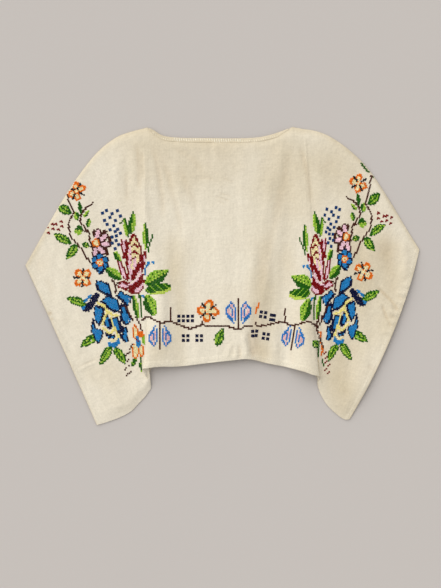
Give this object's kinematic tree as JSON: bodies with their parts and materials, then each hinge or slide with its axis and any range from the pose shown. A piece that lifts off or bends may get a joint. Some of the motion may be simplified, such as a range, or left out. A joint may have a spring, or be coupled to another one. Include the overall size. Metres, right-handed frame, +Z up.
{
  "type": "crop top",
  "caption": "Cropped dolman-sleeve linen top laid flat, with a boat neck, wide open cuffs, a short straight hem and cross-stitched flower sprays.",
  "frame": {"origin": "middle of the garment's outline, on the surface that it lies on", "axes": "+X across the garment from one cuff to the other, to the right as seen from above; +Y from the hem to the neck; +Z up from the surface"},
  "size_m": [0.7086, 0.5362, 0.023],
  "materials": {
    "linen": "matt cream linen with a visible plain weave",
    "binding": "matt cream linen, turned and whip-stitched"
  },
  "bodies": {
    "root": {"front_panel": "linen", "back_panel": "linen", "neck_band_front": "binding", "neck_band_back": "binding"}
  },
  "joints": []
}
